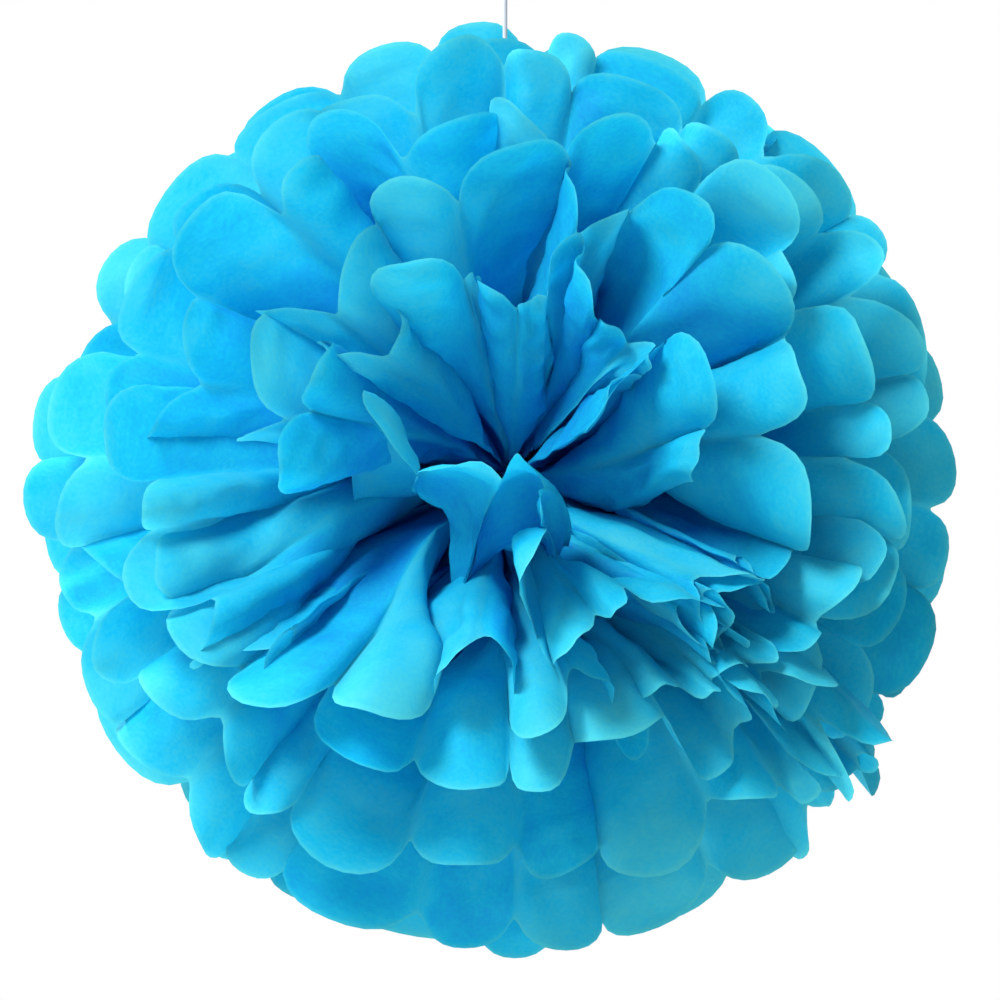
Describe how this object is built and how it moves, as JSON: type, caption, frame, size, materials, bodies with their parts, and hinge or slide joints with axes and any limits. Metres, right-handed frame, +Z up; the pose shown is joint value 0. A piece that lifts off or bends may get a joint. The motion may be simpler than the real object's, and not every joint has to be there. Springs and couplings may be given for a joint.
{
  "type": "tissue paper pom pom",
  "caption": "Hanging pom pom ball of pleated tissue sheets, tied in the middle and fanned into nested cups of rounded petals, on a thread with a loop.",
  "frame": {"origin": "where a hook carries the loop on top of the thread; the ball hangs below it", "axes": "+Z up along the taut thread; the front of the ball, into which one looks down the nested cups, faces -Y; +X to the right of that view"},
  "size_m": [0.2476, 0.238, 0.2852],
  "materials": {
    "tissue_paper": "matte",
    "tie_wire": "satin",
    "thread": "matte"
  },
  "bodies": {
    "root": {"sheet_01": "tissue_paper", "sheet_02": "tissue_paper", "sheet_03": "tissue_paper", "sheet_04": "tissue_paper", "sheet_05": "tissue_paper", "sheet_06": "tissue_paper", "sheet_07": "tissue_paper", "sheet_08": "tissue_paper", "sheet_09": "tissue_paper", "sheet_10": "tissue_paper", "tie_wire": "tie_wire", "hanging_thread": "thread", "hanging_loop": "thread"}
  },
  "joints": []
}
